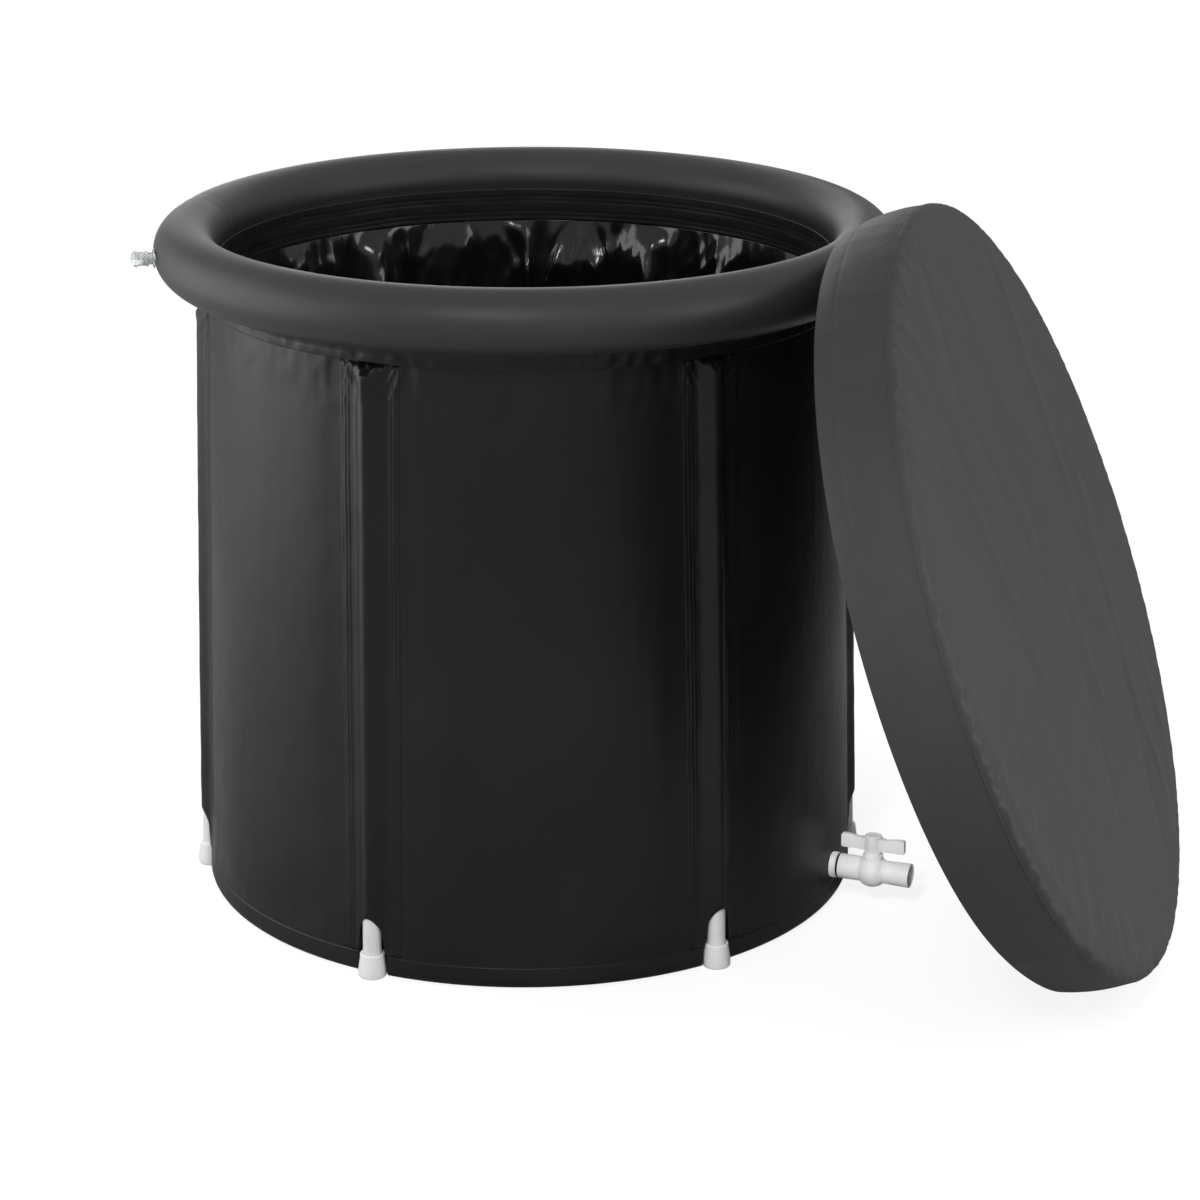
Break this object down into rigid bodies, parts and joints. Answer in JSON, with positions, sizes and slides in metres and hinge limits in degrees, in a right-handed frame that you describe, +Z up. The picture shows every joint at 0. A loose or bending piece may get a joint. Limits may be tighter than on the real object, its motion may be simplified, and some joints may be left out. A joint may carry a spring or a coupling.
{
  "type": "portable cold plunge tub",
  "caption": "Soft round insulated plunge tub with an inflated rim, upright poles in sleeves, a ball drain valve, an air valve and a padded soft lid leaning against it.",
  "frame": {"origin": "on the floor at the tub's upright axis, at the underside of the base panel", "axes": "+Z up along the tub's axis; the pictured front faces -Y; +X to the right, the side with the drain and the leaning lid"},
  "size_m": [1.1359, 1.065, 0.7934],
  "materials": {
    "coated_black": "satin",
    "insulation_foam": "matte",
    "gloss_liner": "gloss",
    "ring_charcoal": "satin",
    "white_plastic": "satin",
    "clear_plastic": "gloss",
    "black_rubber": "matte",
    "seal_white": "satin",
    "lid_cloth": "matte"
  },
  "bodies": {
    "tub": {"outer_wall": "coated_black", "base_panel": "coated_black", "base_weld_band": "coated_black", "ring_yoke": "coated_black", "pole_sleeve_1": "coated_black", "pole_sleeve_2": "coated_black", "pole_sleeve_3": "coated_black", "pole_sleeve_4": "coated_black", "pole_sleeve_5": "coated_black", "pole_sleeve_6": "coated_black", "wall_insulation": "insulation_foam", "inner_liner": "gloss_liner", "liner_floor": "gloss_liner", "liner_band": "gloss_liner", "air_ring": "ring_charcoal", "support_pole_1": "white_plastic", "support_pole_2": "white_plastic", "support_pole_3": "white_plastic", "support_pole_4": "white_plastic", "support_pole_5": "white_plastic", "support_pole_6": "white_plastic", "pole_foot_1": "white_plastic", "pole_foot_2": "white_plastic", "pole_foot_3": "white_plastic", "pole_foot_4": "white_plastic", "pole_foot_5": "white_plastic", "pole_foot_6": "white_plastic", "drain_bulkhead": "white_plastic", "drain_lock_nut": "white_plastic", "valve_body": "white_plastic", "valve_retainer": "white_plastic", "air_valve_base": "clear_plastic", "drain_gasket": "black_rubber", "drain_o_ring": "black_rubber", "valve_stem_seal": "black_rubber", "valve_seat_inlet": "seal_white", "valve_seat_outlet": "seal_white"},
    "drain_handle": {"valve_handle": "white_plastic", "valve_stem": "white_plastic", "valve_ball": "white_plastic"},
    "air_plug": {"air_valve_plug": "clear_plastic"},
    "lid": {"lid_skirt": "lid_cloth", "lid_hem_band": "lid_cloth", "lid_top_panel": "lid_cloth", "lid_foam_pad": "insulation_foam", "lid_lining": "lid_cloth"}
  },
  "joints": [
    {"name": "drain_handle_turn", "type": "hinge", "parent": "tub", "child": "drain_handle", "pos_m": [0.38095, -0.15105, 0.07], "axis": [0, 0, -1], "range_deg": [0, 90]},
    {"name": "air_plug_pull", "type": "slide", "parent": "tub", "child": "air_plug", "axis": [-0.9776, -0.2104, 0], "range_m": [0, 0.015]},
    {"name": "lid_lift", "type": "slide", "parent": "tub", "child": "lid", "axis": [0, 0, 1], "range_m": [0, 0.8]}
  ]
}
